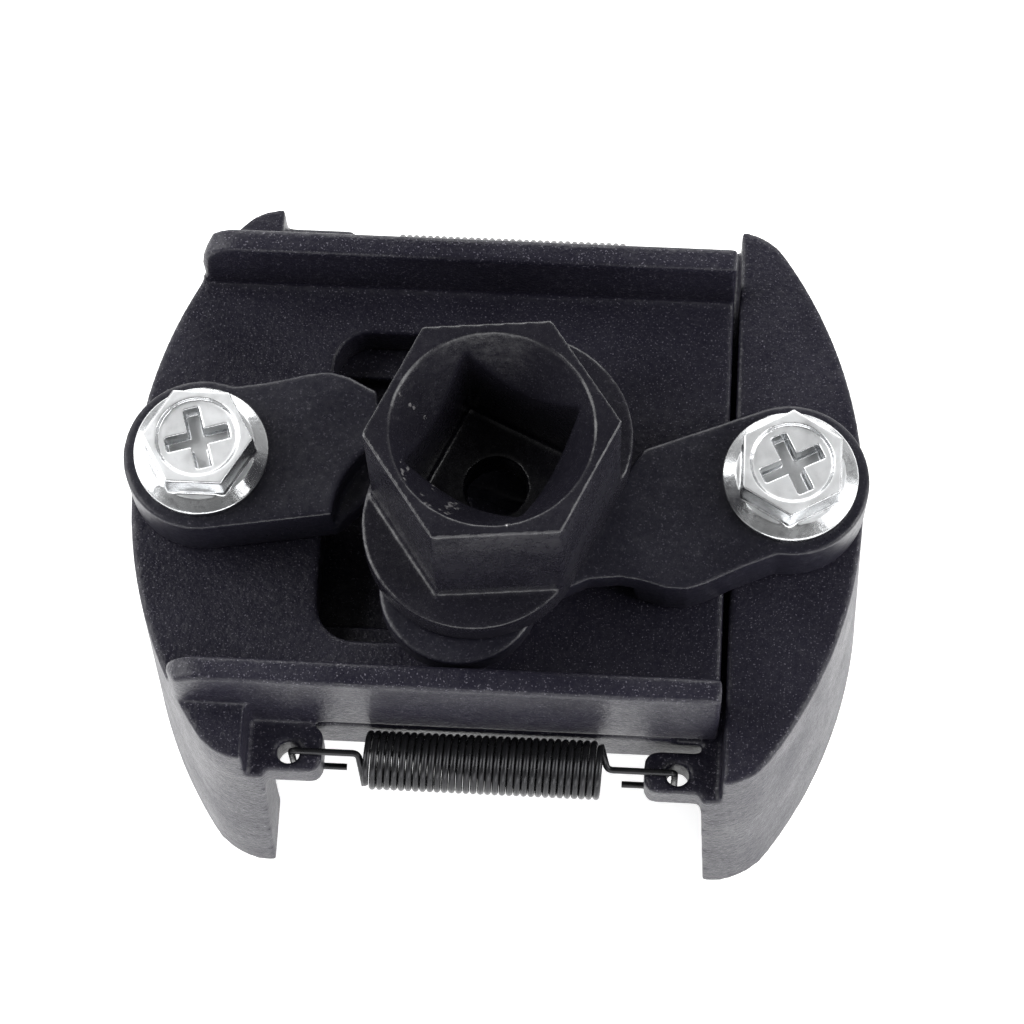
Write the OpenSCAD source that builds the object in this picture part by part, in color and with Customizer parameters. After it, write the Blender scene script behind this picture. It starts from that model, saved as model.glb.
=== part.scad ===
// Two-jaw oil filter wrench: a hexagon hub with a square drive turns two crank pins,
// and two half-lapped links turn that into a sliding motion of the two sprung jaws.
// Millimetres. +Z up, origin under the centre of the guide rails, on the jaw tips.

/* [Jaws] */
// Height of the top plate's upper face above the jaw tips
plate_z = 35; // [28:0.5:42]
// Radius of the jaws' outer wall at the plate, seen from above
outer_r = 48.3; // [47:0.1:49]
// Distance from the middle to the centre of each jaw's arcs
arc_offset = 9.9; // [9.5:0.1:10.3]
// How much further out the outer wall is at the tips than at the plate
flare = 1.5; // [0:0.1:2]
// Radius of the gripping wall before its teeth
grip_r = 42; // [41:0.1:43]
// Overall width of the jaws at the plate
jaw_w = 61.6; // [60:0.2:64]
// Radius of the jaws' outer corners
corner_r = 6.5; // [4:0.5:8]
// Distance from the middle to the side walls' ends, at the plate
wall_end_top = 22.4; // [22:0.1:23]
// Distance from the middle to the side walls' ends, at the tips
wall_end_low = 23.7; // [23.2:0.1:24]
// Depth of the gripping teeth
tooth_h = 1.1; // [0.6:0.1:1.4]
// Angle between gripping teeth
tooth_step = 3.2; // [2.8:0.1:4]
// Height of the left jaw's wall tips above its plate
tip_rise = 1; // [0:0.1:1.5]

/* [Plates] */
// Thickness of the left jaw's top plate
plate_t = 5; // [4:0.5:6]
// Distance from the middle to the plate's right end
plate_end = 24.15; // [24:0.05:24.3]
// Gap between the left plate and the right jaw's shoulder
jaw_gap = 0.6; // [0.55:0.05:1]
// Thickness of the sliding plate below it
slider_t = 6.7; // [6:0.1:8]
// Width over the guide rails
rail_w = 49.7; // [48:0.1:51]
// Thickness of a guide rail
rail_t = 2.6; // [2:0.1:3.5]
// Height of a guide rail above the plate
rail_h = 8.75; // [6:0.25:10]
// Radius of the rails' rounded left ends
rail_end_r = 4; // [3:0.5:5]
// Window's left end
window_x = 18; // [16:0.5:20]
// Window's right end
window_right = 3; // [2:0.5:6]
// Half of the window's width
window_y = 17.2; // [15:0.2:18]
// Half of the width of the channel in the sliding plate
channel_y = 14; // [13.4:0.1:15]
// Depth of the channel in the sliding plate
channel_t = 2.6; // [1:0.1:3.3]

/* [Hub] */
// Hexagon size across flats
hex_af = 22; // [19:1:24]
// Height of the hexagon
hex_h = 17.3; // [14:0.1:20]
// Side of the square drive socket
drive_sq = 12.8; // [12.7:0.05:13]
// Depth of the square drive socket
drive_depth = 16.6; // [14:0.1:17.2]
// Radius of the socket's mouth
mouth_r = 10.1; // [9.2:0.1:10.4]
// Depth of the socket's conical mouth
mouth_t = 5.6; // [4:0.1:7]
// Radius of the drain hole in the socket's floor
drain_r = 3.2; // [2.5:0.1:3.5]
// Turn of the hexagon at rest
hex_turn = 5.5; // [0:0.5:30]
// Hub's place at rest, left to right
hub_x = 0.42; // [0:0.01:1]
// Hub's place at rest, front to back
hub_y = -3.9; // [-4.2:0.1:-3.6]
// Radius of the flange's two lobes
flange_r = 11.45; // [11.2:0.05:11.8]
// Thickness of the flange
flange_t = 3.7; // [3:0.1:4]
// Distance from the hub's axis to the rear lobe's centre
rear_lobe = 6.2; // [5:0.1:7]
// Distance from the hub's axis to the front lobe's centre
front_lobe = 4.1; // [3.5:0.1:5]
// Distance from the hub's axis to each crank pin
crank_r = 9.9; // [9.7:0.1:10.1]
// Direction of the rear crank pin at rest
crank_dir = 70.3; // [68:0.1:72]
// Radius of a crank pin
pin_r = 5; // [4:0.1:5.4]

/* [Links] */
// Thickness of a link
link_t = 6.6; // [5:0.1:7]
// Gap between the plates and the links
link_gap = 0.3; // [0.2:0.05:0.6]
// Radius of a link's bolt end and of its pin end
eye_r = 8.2; // [7.8:0.1:8.4]
// Play of a link's hole on its crank pin or bolt
pivot_play = 0.1; // [0.05:0.01:0.15]
// Play of the right link's hole on its bolt
open_play = 1.06; // [1.02:0.01:1.2]

/* [Bolts and springs] */
// Distance from the middle to each bolt
bolt_x = 30.35; // [30:0.05:31]
// Radius of the bolt's shank
shank_r = 3; // [2.9:0.05:3.1]
// Radius of the bolt's flange
bolt_flange_r = 7; // [6.6:0.1:7.2]
// Hexagon of the bolt's head across flats
bolt_af = 10; // [9.5:0.5:10.5]
// Distance from the middle to the springs' axes
spring_y = 28.2; // [28:0.1:28.6]
// Outer radius of a spring's coil
coil_r = 3.1; // [2.9:0.1:3.2]
// Diameter of the springs' wire
wire_d = 0.7; // [0.5:0.05:0.9]
// Length of a spring's coil
coil_l = 24.3; // [23:0.1:25]
// Distance from the middle to the spring holes
lug_hole_x = 20.2; // [19.8:0.1:20.6]
// Radius of the spring holes
lug_hole_r = 1.2; // [1.1:0.05:1.3]
// Thickness of a spring lug
lug_t = 4.5; // [3.5:0.1:5]
// Depth of the left jaw's spring lugs below the plate's upper face
left_lug_drop = 4.5; // [4:0.1:5]
// Depth of the right jaw's spring lugs below the plate's upper face
right_lug_drop = 6.3; // [6:0.1:6.8]

/* [Hidden] */
$fn = 96;
eps = 0.01;
far = 60;
slide_gap = 0.3;
plate_bottom = plate_z - plate_t;
slider_top = plate_bottom - slide_gap;
slider_bottom = slider_top - slider_t;
slider_left = 20;
shoulder_x = plate_end + jaw_gap;
link_z0 = plate_z + link_gap;
link_z1 = link_z0 + link_t;
lap_gap = 0.3;
lap_low_z = link_z0 + (link_t - lap_gap) / 2;
lap_high_z = lap_low_z + lap_gap;
flange_z0 = link_z1 + 0.3;
flange_z1 = flange_z0 + flange_t;
hub_top = flange_z1 + hex_h;
hub = [hub_x, hub_y];
crank = crank_r * [cos(crank_dir), sin(crank_dir)];
rear_pin = hub + crank;
front_pin = hub - crank;
left_pivot = [-bolt_x, 0];
right_pivot = [bolt_x, 0];
head_z = link_z1 + 0.1;
lug_x0 = 16.7;
lug_wall = 24.5;
left_lug_y = rail_w / 2 + 0.35;
right_lug_y = rail_w / 2 + 0.95;
lug_r = 1.4;
left_lug_z = plate_z - left_lug_drop;
right_lug_z = plate_z - right_lug_drop;
front_lug_y = 30.2;
back_lug_y = 31;
spring_z = plate_z - 6.3;
tooth_root = 0.4;
tooth_count = 9;
tooth_z0 = 2;
bolt_depth = 11;

// How far the outer wall lies outside its outline at the plate, at height z
function grow(z) = flare * (1 - z / plate_z);

// Box with four round corners along Z, from x0 to x1, lying on z0
module round_plate(x0, x1, w, r, z0, h) {
    translate([x0 + r, -w / 2, z0]) cube([x1 - x0 - 2 * r, w, h]);
    translate([x0, -w / 2 + r, z0]) cube([x1 - x0, w - 2 * r, h]);
    for (x = [x0 + r, x1 - r], y = [-w / 2 + r, w / 2 - r])
        translate([x, y, z0]) cylinder(h = h, r = r);
}

// Space inside a jaw's rounded, flared outline: the left jaw for side -1, the right for side 1
module outline_body(side, z0, h) {
    // the corner arcs touch both the big arc and the straight ends
    corner_y = jaw_w / 2 - corner_r;
    corner_x = sqrt(pow(outer_r - corner_r, 2) - pow(corner_y, 2)) - arc_offset;
    wedge = 2 * outer_r * [corner_x + arc_offset, corner_y] / (outer_r - corner_r);
    low = grow(z0);
    high = grow(z0 + h);
    mirror([side < 0 ? 1 : 0, 0, 0]) {
        intersection() {
            translate([-arc_offset, 0, z0])
                cylinder(h = h, r1 = outer_r + low, r2 = outer_r + high, $fn = 160);
            translate([-arc_offset, 0, z0]) linear_extrude(h)
                polygon([[0, 0], [wedge[0], -wedge[1]], [wedge[0], wedge[1]]]);
        }
        translate([-plate_end - 1, 0, 0]) rotate([90, 0, 90]) linear_extrude(plate_end + 1 + corner_x)
            polygon([[-jaw_w / 2 - low, z0], [jaw_w / 2 + low, z0],
                     [jaw_w / 2 + high, z0 + h], [-jaw_w / 2 - high, z0 + h]]);
        for (y = [-corner_y, corner_y])
            translate([corner_x, y, z0]) cylinder(h = h, r1 = corner_r + low, r2 = corner_r + high);
    }
}

// Space outside the walls' slanted ends
module wall_side(side, h) {
    mirror([side < 0 ? 1 : 0, 0, 0]) rotate([90, 0, 0]) linear_extrude(2 * far, center = true)
        polygon([[wall_end_low, 0], [far, 0], [far, h],
                 [wall_end_low + (wall_end_top - wall_end_low) * h / plate_z, h]]);
}

// Round space for the filter inside a jaw
module grip_space(side) {
    translate([-side * arc_offset, 0, -1]) cylinder(h = slider_bottom + 1, r = grip_r, $fn = 160);
}

// Upright gripping teeth on the inside of a jaw's wall
module jaw_teeth(side) {
    intersection() {
        wall_side(side, slider_bottom);
        for (a = [-tooth_count : tooth_count])
            translate([-side * arc_offset, 0, tooth_z0])
                rotate([0, 0, (side > 0 ? 0 : 180) + a * tooth_step])
                    translate([grip_r + tooth_root, 0, 0])
                        rotate([0, 0, 180])
                            cylinder(h = slider_bottom - 2 * tooth_z0, r = tooth_h + tooth_root, $fn = 3);
    }
}

// Lug with a spring hole and two round corners, on the end of a jaw's wall
module spring_lug(side, front, y0, top) {
    y1 = front > 0 ? front_lug_y : back_lug_y;
    lug_l = lug_wall + 1 - lug_x0;
    mirror([side < 0 ? 1 : 0, 0, 0]) mirror([0, front > 0 ? 1 : 0, 0])
        translate([0, 0, top - lug_t]) difference() {
            union() {
                translate([lug_x0, y0 + lug_r, 0]) cube([lug_l, y1 - y0 - 2 * lug_r, lug_t]);
                translate([lug_x0 + lug_r, y0, 0]) cube([lug_l - lug_r, y1 - y0, lug_t]);
                for (y = [y0 + lug_r, y1 - lug_r])
                    translate([lug_x0 + lug_r, y, 0]) cylinder(h = lug_t, r = lug_r);
            }
            translate([lug_hole_x, spring_y, -1]) cylinder(h = lug_t + 2, r = lug_hole_r, $fn = 32);
        }
}

// Guide rail's side profile with a rounded left end, along y0 to y0 + rail_t
module rail_bar(y0) {
    left = 32.4;
    translate([-left, y0, plate_bottom]) cube([left + plate_end, rail_t, plate_t + rail_h - rail_end_r]);
    translate([-left + rail_end_r, y0, plate_bottom])
        cube([left - rail_end_r + plate_end, rail_t, plate_t + rail_h]);
    translate([-left + rail_end_r, y0 + rail_t, plate_z + rail_h - rail_end_r])
        rotate([90, 0, 0]) cylinder(h = rail_t, r = rail_end_r);
}

// Left jaw: curved wall, top plate with guide rails and window, spring lugs
module left_jaw() {
    color("#2a2a33") difference() {
        union() {
            difference() {
                intersection() {
                    outline_body(-1, 0, plate_z + rail_h);
                    union() {
                        wall_side(-1, plate_z + tip_rise);
                        translate([-far, -rail_w / 2, plate_bottom])
                            cube([far + plate_end, rail_w, plate_t]);
                        for (y = [-rail_w / 2, rail_w / 2 - rail_t])
                            rail_bar(y);
                    }
                }
                grip_space(-1);
            }
            jaw_teeth(-1);
            for (front = [-1, 1])
                spring_lug(-1, front, left_lug_y, left_lug_z);
        }
        // the wall's raised tips stay outside the rails
        translate([-far, -rail_w / 2 + rail_t, plate_z])
            cube([2 * far, rail_w - 2 * rail_t, rail_h + 1]);
        // the wall ends further out above the lugs
        for (front = [-1, 1])
            mirror([0, front > 0 ? 1 : 0, 0]) translate([-lug_wall, rail_w / 2, left_lug_z])
                cube([10, 10, plate_z]);
        // window over the sliding plate
        round_plate(-window_x, -window_right, 2 * window_y, 4, plate_bottom - 1, plate_t + 2);
        // room for the right jaw's sliding plate
        translate([-slider_left - 2, -rail_w / 2 - slide_gap, slider_bottom - slide_gap])
            cube([far, rail_w + 2 * slide_gap, plate_bottom - slider_bottom + slide_gap]);
        translate([-bolt_x, 0, plate_z - bolt_depth - 1])
            cylinder(h = bolt_depth + 2, r = shank_r, $fn = 48);
    }
}

// Right jaw: curved wall, shoulder, sliding plate with a channel, spring lugs
module right_jaw() {
    color("#26262e") difference() {
        union() {
            difference() {
                intersection() {
                    outline_body(1, 0, plate_z);
                    wall_side(1, plate_z);
                }
                grip_space(1);
            }
            jaw_teeth(1);
            for (front = [-1, 1])
                spring_lug(1, front, right_lug_y, right_lug_z);
            translate([-slider_left, -rail_w / 2, slider_bottom])
                cube([slider_left + shoulder_x + 4, rail_w, slider_t]);
        }
        // the left jaw's plate and rails end short of the shoulder
        translate([0, -rail_w / 2 - slide_gap, slider_top])
            cube([shoulder_x, rail_w + 2 * slide_gap, plate_z]);
        translate([shoulder_x - 5, -far, right_lug_z])
            cube([5, 2 * far, plate_z]);
        // channel in the sliding plate
        translate([-slider_left - 1, -channel_y, slider_top - channel_t])
            cube([slider_left + 18, 2 * channel_y, channel_t + 1]);
        translate([bolt_x, 0, plate_z - bolt_depth - 1])
            cylinder(h = bolt_depth + 2, r = shank_r, $fn = 48);
    }
}

// Hub: hexagon with a square socket, flange with two lobes, and two crank pins below
module drive_hub() {
    lobe_y = 0.35;
    color("#1f1f26") translate([hub_x, hub_y, 0]) difference() {
        union() {
            translate([0, 0, flange_z1 - eps]) rotate([0, 0, hex_turn])
                cylinder(h = hex_h + eps, r = hex_af / sqrt(3), $fn = 6);
            rotate([0, 0, hex_turn + 60]) {
                for (x = [-front_lobe, rear_lobe])
                    translate([x, lobe_y, flange_z0]) cylinder(h = flange_t, r = flange_r);
                translate([-front_lobe, lobe_y - flange_r + 3 * eps, flange_z0])
                    cube([front_lobe + rear_lobe, 2 * flange_r - 6 * eps, flange_t]);
            }
            translate([crank[0], crank[1], link_z0])
                cylinder(h = flange_z0 - link_z0 + eps, r = pin_r);
            translate([-crank[0], -crank[1], lap_high_z])
                cylinder(h = flange_z0 - lap_high_z + eps, r = pin_r);
        }
        // the flange's right side is flush with the hexagon
        rotate([0, 0, hex_turn + 60]) translate([-20, -20 - hex_af / 2 + 2 * eps, flange_z0 - 1])
            cube([40, 20, hex_h + flange_t + 2]);
        // socket: square walls below a conical mouth
        rotate([0, 0, hex_turn + 60])
            translate([-drive_sq / 2, -drive_sq / 2, hub_top - drive_depth])
                cube([drive_sq, drive_sq, drive_depth + 1]);
        translate([0, 0, hub_top - mouth_t])
            cylinder(h = mouth_t + eps, r1 = drive_sq / 2, r2 = mouth_r);
        translate([0, 0, flange_z0 - 1]) cylinder(h = flange_t + 3, r = drain_r, $fn = 48);
    }
}

// Solid link along +X from its bolt to its pin, with no holes
module link_blank(len) {
    translate([0, 0, link_z0]) cylinder(h = link_t, r = eye_r);
    translate([len, 0, link_z0]) cylinder(h = link_t, r = eye_r);
    translate([0, 0, link_z0]) linear_extrude(link_t)
        polygon([[0, eye_r - eps], [1.5, 7.7], [4, 7.2], [8, 7.35], [12, 7.8], [14, 7.75], [16, 6.9],
                 [18, 5.4], [20, 4.3], [23, 3.5], [27, 3.9], [len - 3, 7], [len, eye_r - 2 * eps],
                 [len, -eye_r + 2 * eps], [27, -5.4], [23, -4.6], [20, -4.6], [17, -5.2], [14.6, -7],
                 [13, -8.1], [0, -eye_r + eps]]);
}

// Where a link has only half its thickness: past the step beside its full-thickness end
module lap_space(h) {
    translate([22.5, -9.6, 0]) cylinder(h = h, r = 9.8);
    translate([18.6, -20, 0]) cube([40, 40, h]);
}

// Link with its bolt hole and pin hole; high keeps the upper half of the lap
module half_lap_link(bolt, pin, high, bolt_hole_r) {
    len = norm(pin - bolt);
    turn = atan2(pin[1] - bolt[1], pin[0] - bolt[0]);
    translate([bolt[0], bolt[1], 0]) rotate([0, 0, turn]) difference() {
        link_blank(len);
        translate([0, 0, link_z0 - 1]) cylinder(h = link_t + 2, r = bolt_hole_r, $fn = 64);
        translate([len, 0, link_z0 - 1]) cylinder(h = link_t + 2, r = pin_r + pivot_play);
        translate([0, 0, high ? link_z0 - 1 : lap_low_z])
            lap_space(high ? lap_high_z - link_z0 + 1 : link_z1 - lap_low_z + 1);
    }
}

// Left link: runs low under the right link, to the rear crank pin
module left_link() {
    color("#1c1c22") half_lap_link(left_pivot, rear_pin, false, shank_r + pivot_play);
}

// Right link: runs high over the left link, to the front crank pin
module right_link() {
    color("#1c1c22") half_lap_link(right_pivot, front_pin, true, shank_r + open_play);
}

// Flanged hexagon bolt with a dished top and a cross recess
module flange_bolt(x, head_turn, cross_turn) {
    color("silver") translate([x, 0, 0]) {
        difference() {
            union() {
                translate([0, 0, plate_z - bolt_depth])
                    cylinder(h = head_z - plate_z + bolt_depth + eps, r = shank_r, $fn = 48);
                translate([0, 0, head_z]) cylinder(h = 0.9, r = bolt_flange_r);
                translate([0, 0, head_z + 0.9 - eps])
                    cylinder(h = 0.8, r1 = bolt_flange_r, r2 = 5.6);
                translate([0, 0, head_z]) rotate([0, 0, head_turn])
                    cylinder(h = 5, r = bolt_af / sqrt(3), $fn = 6);
            }
            translate([0, 0, head_z + 4.6]) cylinder(h = 2, r = 4.2);
            for (a = [0, 90])
                translate([0, 0, head_z + 2.6]) rotate([0, 0, cross_turn + a])
                    translate([-3.3, -0.8, 0]) cube([6.6, 1.6, 5]);
        }
    }
}
module left_bolt() { flange_bolt(-bolt_x, 0, 17); }
module right_bolt() { flange_bolt(bolt_x, 30, 27); }

// Tension spring: close-wound coil and two hooks through the lugs
module tension_spring(front) {
    color("#101014") translate([0, -front * spring_y, spring_z]) {
        rotate([0, 90, 0]) translate([0, 0, -coil_l / 2]) difference() {
            cylinder(h = coil_l, r = coil_r, $fn = 48);
            translate([0, 0, -1]) cylinder(h = coil_l + 2, r = coil_r - wire_d, $fn = 48);
        }
        for (s = [-1, 1]) {
            lug_top = (s < 0 ? left_lug_z : right_lug_z) - spring_z;
            hook_x = s * (lug_hole_x - 0.3);
            rod([s * (coil_l / 2 - 0.2), 0, -coil_r + wire_d / 2],
                [s * (coil_l / 2 - 0.2), 0, coil_r - wire_d / 2]);
            rod([s * (coil_l / 2 - 0.2), 0, lug_top + wire_d], [hook_x, 0, lug_top + wire_d]);
            rod([hook_x, 0, lug_top + wire_d], [hook_x, 0, lug_top - lug_t - wire_d]);
            rod([hook_x, 0, lug_top - lug_t - wire_d], [hook_x - s * 5.5, 0, lug_top - lug_t - wire_d]);
        }
    }
}

// Straight wire along X or Z with round ends
module rod(a, b) {
    len = norm(b - a);
    d = b - a;
    translate(a) sphere(d = wire_d, $fn = 16);
    translate(b) sphere(d = wire_d, $fn = 16);
    translate(a) rotate([0, acos(d[2] / len), atan2(d[1], d[0])])
        cylinder(h = len, d = wire_d, $fn = 16);
}
module front_spring() { tension_spring(1); }
module back_spring() { tension_spring(-1); }

left_jaw();
right_jaw();
drive_hub();
left_link();
right_link();
left_bolt();
right_bolt();
front_spring();
back_spring();
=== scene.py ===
"""Looks for the two-jaw oil filter wrench: cast paint, zinc plate and wound coil springs."""
import math

import bpy
import bmesh
import numpy as np
from mathutils import Matrix, Vector


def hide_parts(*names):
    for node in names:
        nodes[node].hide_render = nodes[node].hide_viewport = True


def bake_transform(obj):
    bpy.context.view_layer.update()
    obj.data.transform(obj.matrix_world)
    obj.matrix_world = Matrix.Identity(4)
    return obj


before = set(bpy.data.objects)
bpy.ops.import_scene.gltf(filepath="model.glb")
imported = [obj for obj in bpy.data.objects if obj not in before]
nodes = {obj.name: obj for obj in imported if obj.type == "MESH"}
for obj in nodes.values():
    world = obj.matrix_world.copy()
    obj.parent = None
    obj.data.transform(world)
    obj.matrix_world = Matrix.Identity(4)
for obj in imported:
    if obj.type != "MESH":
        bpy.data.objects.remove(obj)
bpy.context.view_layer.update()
MM = 0.001

# ---------------------------------------------------------------- camera
PLATE_Z = 0.035                       # upper face of the left jaw's plate
CAMERA = {"elevation": 70.224, "azimuth": 6.514, "roll": -3.617, "distance": 0.3752,
          "target": (0.00173, -0.00242, PLATE_Z), "focal_px": 3587.0}


def make_camera():
    elevation = math.radians(CAMERA["elevation"])
    azimuth = math.radians(CAMERA["azimuth"])
    back = Vector((math.sin(azimuth) * math.cos(elevation),
                   -math.cos(azimuth) * math.cos(elevation), math.sin(elevation)))
    right = Vector((math.cos(azimuth), math.sin(azimuth), 0))
    up = back.cross(right)
    turn = Matrix.Rotation(math.radians(CAMERA["roll"]), 3, back)
    right, up = turn @ right, turn @ up
    data = bpy.data.cameras.new("camera")
    data.sensor_width = 36
    data.lens = CAMERA["focal_px"] / 1024 * 36
    data.clip_start = 0.01
    camera = bpy.data.objects.new("camera", data)
    place = Matrix((right, up, back)).transposed().to_4x4()
    place.translation = Vector(CAMERA["target"]) + back * CAMERA["distance"]
    camera.matrix_world = place
    bpy.context.scene.collection.objects.link(camera)
    bpy.context.scene.camera = camera


make_camera()


# ---------------------------------------------------------------- materials
class Shader:
    """Small helper around one node tree."""

    def __init__(self, name):
        self.material = bpy.data.materials.new(name)
        self.material.use_nodes = True
        self.tree = self.material.node_tree
        self.bsdf = self.tree.nodes["Principled BSDF"]
        coord = self.tree.nodes.new("ShaderNodeTexCoord")
        self.place = coord.outputs["Object"]

    def node(self, kind, **values):
        made = self.tree.nodes.new(kind)
        for key, value in values.items():
            if hasattr(made, key):
                setattr(made, key, value)
            else:
                made.inputs[key.replace("_", " ")].default_value = value
        return made

    def link(self, out, into):
        self.tree.links.new(out, into)

    def noise(self, size, detail=3.0, roughness=0.6, stretch=None):
        """Noise whose features are about size metres across."""
        made = self.node("ShaderNodeTexNoise")
        made.inputs["Scale"].default_value = 1 / size
        made.inputs["Detail"].default_value = detail
        made.inputs["Roughness"].default_value = roughness
        if stretch:
            mapping = self.node("ShaderNodeMapping")
            mapping.inputs["Scale"].default_value = stretch
            self.link(self.place, mapping.inputs["Vector"])
            self.link(mapping.outputs["Vector"], made.inputs["Vector"])
        else:
            self.link(self.place, made.inputs["Vector"])
        return made.outputs["Fac"]

    def ramp(self, value, low, high, out_low=0.0, out_high=1.0):
        made = self.node("ShaderNodeMapRange")
        made.inputs["From Min"].default_value = low
        made.inputs["From Max"].default_value = high
        made.inputs["To Min"].default_value = out_low
        made.inputs["To Max"].default_value = out_high
        self.link(value, made.inputs["Value"])
        return made.outputs["Result"]

    def maths(self, how, a, b):
        made = self.node("ShaderNodeMath")
        made.operation = how
        for slot, value in enumerate((a, b)):
            if isinstance(value, (int, float)):
                made.inputs[slot].default_value = value
            else:
                self.link(value, made.inputs[slot])
        return made.outputs[0]

    def mix(self, factor, a, b):
        made = self.node("ShaderNodeMix")
        made.data_type = "RGBA"
        self.link(factor, made.inputs[0])
        for slot, value in ((6, a), (7, b)):
            if isinstance(value, tuple):
                made.inputs[slot].default_value = (*value, 1)
            else:
                self.link(value, made.inputs[slot])
        return made.outputs[2]

    def edges(self, low, high):
        """1 on worn and highlit convex edges, 0 on flats."""
        geometry = self.node("ShaderNodeNewGeometry")
        return self.ramp(geometry.outputs["Pointiness"], low, high)

    def bump(self, layers):
        """layers: (height output, depth in metres), each on top of the last."""
        normal = None
        for height, depth in layers:
            made = self.node("ShaderNodeBump")
            made.inputs["Strength"].default_value = 1.0
            made.inputs["Distance"].default_value = depth
            self.link(height, made.inputs["Height"])
            if normal:
                self.link(normal, made.inputs["Normal"])
            normal = made.outputs["Normal"]
        self.link(normal, self.bsdf.inputs["Normal"])


def cast_paint(name, colour, grain, grain_depth, roughness, wear_and_highlight, glint, gloss):
    """Black paint on a casting: fine grain with glints, patches of sheen, worn edges whose
    lighter dots are partly painted highlight.
    """
    s = Shader(name)
    tone = s.noise(9 * MM, 4)
    speck = s.noise(0.5 * MM, 2)
    base = s.mix(tone, tuple(c * 0.7 for c in colour), tuple(c * 1.35 for c in colour))
    scuff = s.maths("MULTIPLY", s.ramp(s.noise(2.2 * MM, 5, 0.7), 0.63, 0.72), 0.18)
    base = s.mix(scuff, base, (0.10, 0.098, 0.11))
    sparkle = s.maths("MULTIPLY", s.ramp(s.noise(0.20 * MM, 1), 0.64, 0.71), glint)
    base = s.mix(sparkle, base, (0.20, 0.19, 0.23))
    # paint is gone in dots along the sharpest edges; these lighter dots are partly real wear and
    # partly painted highlight on the edges
    low, high, amount = wear_and_highlight
    chip_and_highlight_dots = s.maths("MULTIPLY", s.ramp(s.noise(0.45 * MM, 4, 0.7), 0.48, 0.62), amount)
    worn_and_highlit_edges = s.maths("MULTIPLY", s.edges(low, high), chip_and_highlight_dots)
    base = s.mix(worn_and_highlit_edges, base, (0.40, 0.39, 0.40))
    s.link(base, s.bsdf.inputs["Base Color"])
    s.link(s.maths("MULTIPLY", worn_and_highlit_edges, 0.8), s.bsdf.inputs["Metallic"])
    sheen = s.ramp(tone, 0.3, 0.7, roughness - 0.06, roughness + 0.08)
    sheen = s.maths("ADD", sheen, s.ramp(speck, 0.3, 0.7, -0.04, 0.05))
    s.link(sheen, s.bsdf.inputs["Roughness"])
    # the paint's shine is patchy, so that pale surroundings show in it as a mottle
    shine = s.ramp(s.noise(0.9 * MM, 6, 0.75), 0.36, 0.64, *gloss)
    s.link(shine, s.bsdf.inputs["Specular IOR Level"])
    s.bump([(s.noise(4 * MM, 2), 0.10 * MM), (s.noise(grain, 3, 0.55), grain_depth)])
    return s.material


def zinc_plate(name):
    s = Shader(name)
    tone = s.noise(3 * MM, 4)
    base = s.mix(tone, (0.46, 0.47, 0.48), (0.70, 0.71, 0.72))
    dull = s.ramp(s.noise(1.3 * MM, 5, 0.7), 0.52, 0.70)
    base = s.mix(s.maths("MULTIPLY", dull, 0.7), base, (0.24, 0.24, 0.25))
    # the stamped top is more matt than the hexagon's sides, and its paler colour is painted light
    # standing in for the overhead lamps' reflection
    normal = s.node("ShaderNodeSeparateXYZ")
    s.link(s.node("ShaderNodeNewGeometry").outputs["Normal"], normal.inputs["Vector"])
    upward_matt_and_painted_light = s.ramp(normal.outputs["Z"], 0.90, 0.98)
    base = s.mix(s.maths("MULTIPLY", upward_matt_and_painted_light, 0.7), base, (0.88, 0.89, 0.90))
    s.link(base, s.bsdf.inputs["Base Color"])
    s.bsdf.inputs["Metallic"].default_value = 1.0
    sheen = s.maths("ADD", s.ramp(tone, 0.3, 0.7, 0.14, 0.30), s.maths("MULTIPLY", upward_matt_and_painted_light, 0.26))
    s.link(sheen, s.bsdf.inputs["Roughness"])
    s.bump([(s.noise(0.9 * MM, 3), 0.02 * MM)])
    return s.material


def dark_steel(name, colour, roughness):
    s = Shader(name)
    tone = s.noise(1.5 * MM, 4)
    base = s.mix(tone, tuple(c * 0.6 for c in colour), tuple(c * 1.5 for c in colour))
    s.link(base, s.bsdf.inputs["Base Color"])
    s.bsdf.inputs["Metallic"].default_value = 0.6
    s.link(s.ramp(tone, 0.3, 0.7, roughness - 0.06, roughness + 0.08), s.bsdf.inputs["Roughness"])
    s.bump([(s.noise(0.4 * MM, 2), 0.01 * MM)])
    return s.material


JAW = cast_paint("jaw_paint", (0.0105, 0.0097, 0.0170), 0.42 * MM, 0.085 * MM, 0.36,
                 (0.58, 0.70, 0.15), 0.5, (0.16, 0.40))
HUB = cast_paint("hub_paint", (0.0085, 0.0080, 0.0118), 0.8 * MM, 0.03 * MM, 0.24,
                 (0.54, 0.61, 1.0), 0.1, (0.22, 0.55))
LINK = cast_paint("link_paint", (0.0090, 0.0086, 0.0145), 0.7 * MM, 0.03 * MM, 0.34,
                  (0.58, 0.70, 0.15), 0.2, (0.28, 0.50))
ZINC = zinc_plate("zinc_plate")
SPRING = dark_steel("spring_steel", (0.02, 0.02, 0.022), 0.28)

NODE_MATERIAL = {"left_jaw": JAW, "right_jaw": JAW, "drive_hub": HUB, "left_link": LINK,
                 "right_link": LINK, "left_bolt": ZINC, "right_bolt": ZINC,
                 "front_spring": SPRING, "back_spring": SPRING}
for name, material in NODE_MATERIAL.items():
    nodes[name].data.materials.clear()
    nodes[name].data.materials.append(material)


# ---------------------------------------------------------------- cast pieces
def soften(obj, voxel, smooths):
    """Rounds the CAD solid's edges like a casting's: an even mesh, then smoothing."""
    weld = obj.modifiers.new("weld", "WELD")
    weld.merge_threshold = 1e-6
    remesh = obj.modifiers.new("even", "REMESH")
    remesh.mode = "VOXEL"
    remesh.voxel_size = voxel
    remesh.use_smooth_shade = True
    smooth = obj.modifiers.new("round", "SMOOTH")
    smooth.factor = 0.5
    smooth.iterations = smooths


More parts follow.
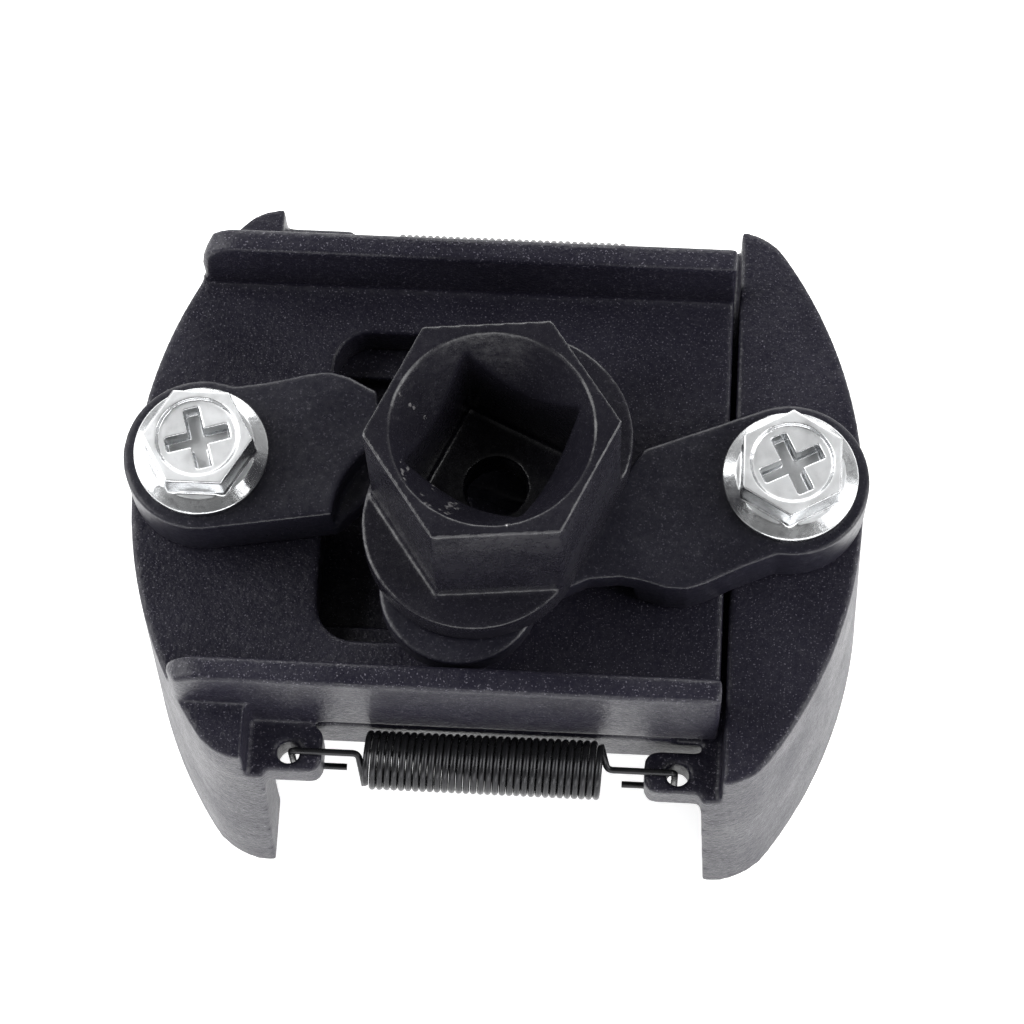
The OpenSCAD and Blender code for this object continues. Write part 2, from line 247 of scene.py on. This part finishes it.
CAST = {"left_jaw": (0.30 * MM, 8), "right_jaw": (0.30 * MM, 8), "drive_hub": (0.20 * MM, 9),
        "left_link": (0.22 * MM, 12), "right_link": (0.22 * MM, 12),
        "left_bolt": (0.12 * MM, 4), "right_bolt": (0.12 * MM, 4)}
for name, (voxel, smooths) in CAST.items():
    soften(nodes[name], voxel, smooths)


# ---------------------------------------------------------------- springs
COIL_TURNS = 32.4                     # the ends of the coil face their hooks
COIL_STEPS = 28                       # points in one turn
COIL_HALF = 12.15 * MM                # half of the coil's length
COIL_OUTER_R = 3.1 * MM
WIRE_R = 0.36 * MM
SPRING_Y = 28.2 * MM                  # from the middle to each spring's axis
SPRING_DROP = 6.3 * MM                # springs' axes below the plate
LUG_DROPS = {-1: 4.5 * MM, 1: 6.3 * MM}   # lugs' tops below the plate, left and right
LUG_T = 4.5 * MM
HOOK_X = 19.9 * MM                    # from the middle to the wire through a lug
HOOK_RISE = 0.75 * MM                 # from the coil's end to the hook's first bend
HOOK_TAIL = 5.5 * MM
HOOK_BEND = 0.6 * MM


def tube(points, radius, sides=10):
    """Closed wire along a list of points, as a bmesh."""
    made = bmesh.new()
    points = [Vector(p) for p in points]
    rings = []
    side = None
    for i, point in enumerate(points):
        along = (points[min(i + 1, len(points) - 1)] - points[max(i - 1, 0)]).normalized()
        if side is None:
            side = along.orthogonal().normalized()
        side = (side - along * side.dot(along)).normalized()
        other = along.cross(side)
        rings.append([made.verts.new(point + radius * (math.cos(a) * side + math.sin(a) * other))
                      for a in np.linspace(0, 2 * math.pi, sides, endpoint=False)])
    for low, high in zip(rings, rings[1:]):
        for k in range(sides):
            made.faces.new((low[k], low[(k + 1) % sides], high[(k + 1) % sides], high[k]))
    made.faces.new(list(reversed(rings[0])))
    made.faces.new(rings[-1])
    return made


def round_corners(points, radius, steps=6):
    """Turns each inner corner of a path into a short bend."""
    points = [Vector(p) for p in points]
    out = [points[0]]
    for before, here, after in zip(points, points[1:], points[2:]):
        a = here + (before - here).normalized() * radius
        b = here + (after - here).normalized() * radius
        for t in np.linspace(0, 1, steps):
            out.append(a * (1 - t) ** 2 + here * 2 * t * (1 - t) + b * t ** 2)
    out.append(points[-1])
    return out


def make_spring(name, node, front):
    """Wound coil with two hooks, in front for front 1 and at the back for -1."""
    y = -front * SPRING_Y
    z = PLATE_Z - SPRING_DROP
    coil_r = COIL_OUTER_R - WIRE_R
    count = round(COIL_TURNS * COIL_STEPS)
    path = []
    for i in range(count + 1):
        turn = 2 * math.pi * i / COIL_STEPS
        x = -COIL_HALF + 2 * COIL_HALF * i / count
        path.append(Vector((x, y - front * coil_r * math.cos(turn), z + coil_r * math.sin(turn))))
    hooks = []
    for side, drop in LUG_DROPS.items():
        hole = side * HOOK_X
        over = PLATE_Z - drop + 0.4 * MM
        under = PLATE_Z - drop - LUG_T - 0.45 * MM
        leg = [path[0] if side < 0 else path[-1], (side * (COIL_HALF + HOOK_RISE), y, over),
               (hole, y, over), (hole, y, under), (hole - side * HOOK_TAIL, y, under)]
        hooks.append(round_corners(leg, HOOK_BEND))
    full = list(reversed(hooks[0]))[:-1] + path + hooks[1][1:]
    wire = tube(full, WIRE_R)
    mesh = bpy.data.meshes.new(name)
    wire.to_mesh(mesh)
    wire.free()
    for face in mesh.polygons:
        face.use_smooth = True
    mesh.materials.append(SPRING)
    piece = bpy.data.objects.new(name, mesh)
    bpy.context.scene.collection.objects.link(piece)
    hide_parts(node)
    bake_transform(piece)


make_spring("front_coil_spring", "front_spring", 1)
make_spring("back_coil_spring", "back_spring", -1)


# ---------------------------------------------------------------- stage and light
def make_floor():
    mesh = bpy.data.meshes.new("floor")
    half = 3.0
    mesh.from_pydata([(-half, -half, 0), (half, -half, 0), (half, half, 0), (-half, half, 0)],
                     [], [(0, 1, 2, 3)])
    floor = bpy.data.objects.new("floor", mesh)
    bpy.context.scene.collection.objects.link(floor)
    s = Shader("floor_white")
    s.bsdf.inputs["Base Color"].default_value = (0.9, 0.9, 0.9, 1)
    s.bsdf.inputs["Roughness"].default_value = 0.8
    s.bsdf.inputs["Emission Color"].default_value = (1, 1, 1, 1)
    s.bsdf.inputs["Emission Strength"].default_value = 0.7
    mesh.materials.append(s.material)


def area_light(name, place, target, size, power):
    data = bpy.data.lights.new(name, "AREA")
    data.shape = "RECTANGLE"
    data.size, data.size_y = size
    data.energy = power
    lamp = bpy.data.objects.new(name, data)
    lamp.location = place
    lamp.rotation_euler = (Vector(target) - Vector(place)).to_track_quat("-Z", "Y").to_euler()
    bpy.context.scene.collection.objects.link(lamp)


def make_light():
    world = bpy.data.worlds.new("studio")
    world.use_nodes = True
    tree = world.node_tree
    tree.nodes["Background"].inputs["Color"].default_value = (1, 1, 1, 1)
    # bright low down and dark overhead, so that metal has something to reflect
    coord = tree.nodes.new("ShaderNodeTexCoord")
    split = tree.nodes.new("ShaderNodeSeparateXYZ")
    fade = tree.nodes.new("ShaderNodeMapRange")
    for slot, value in zip(("From Min", "From Max", "To Min", "To Max"), (0.2, 0.9, 0.75, 0.12)):
        fade.inputs[slot].default_value = value
    tree.links.new(coord.outputs["Generated"], split.inputs["Vector"])
    tree.links.new(split.outputs["Z"], fade.inputs["Value"])
    tree.links.new(fade.outputs["Result"], tree.nodes["Background"].inputs["Strength"])
    bpy.context.scene.world = world
    middle = (0, 0, 0.03)
    area_light("left_soft", (-0.75, 0.1, 0.55), middle, (0.7, 0.9), 9)
    area_light("right_soft", (0.8, -0.1, 0.5), middle, (0.6, 0.9), 8)
    area_light("back_soft", (0.0, 0.95, 0.5), middle, (1.0, 0.5), 7)
    area_light("front_soft", (0.1, -0.9, 0.35), middle, (1.2, 0.4), 5)
    bpy.context.scene.view_settings.view_transform = "Standard"
    bpy.context.scene.view_settings.look = "None"


make_floor()
make_light()
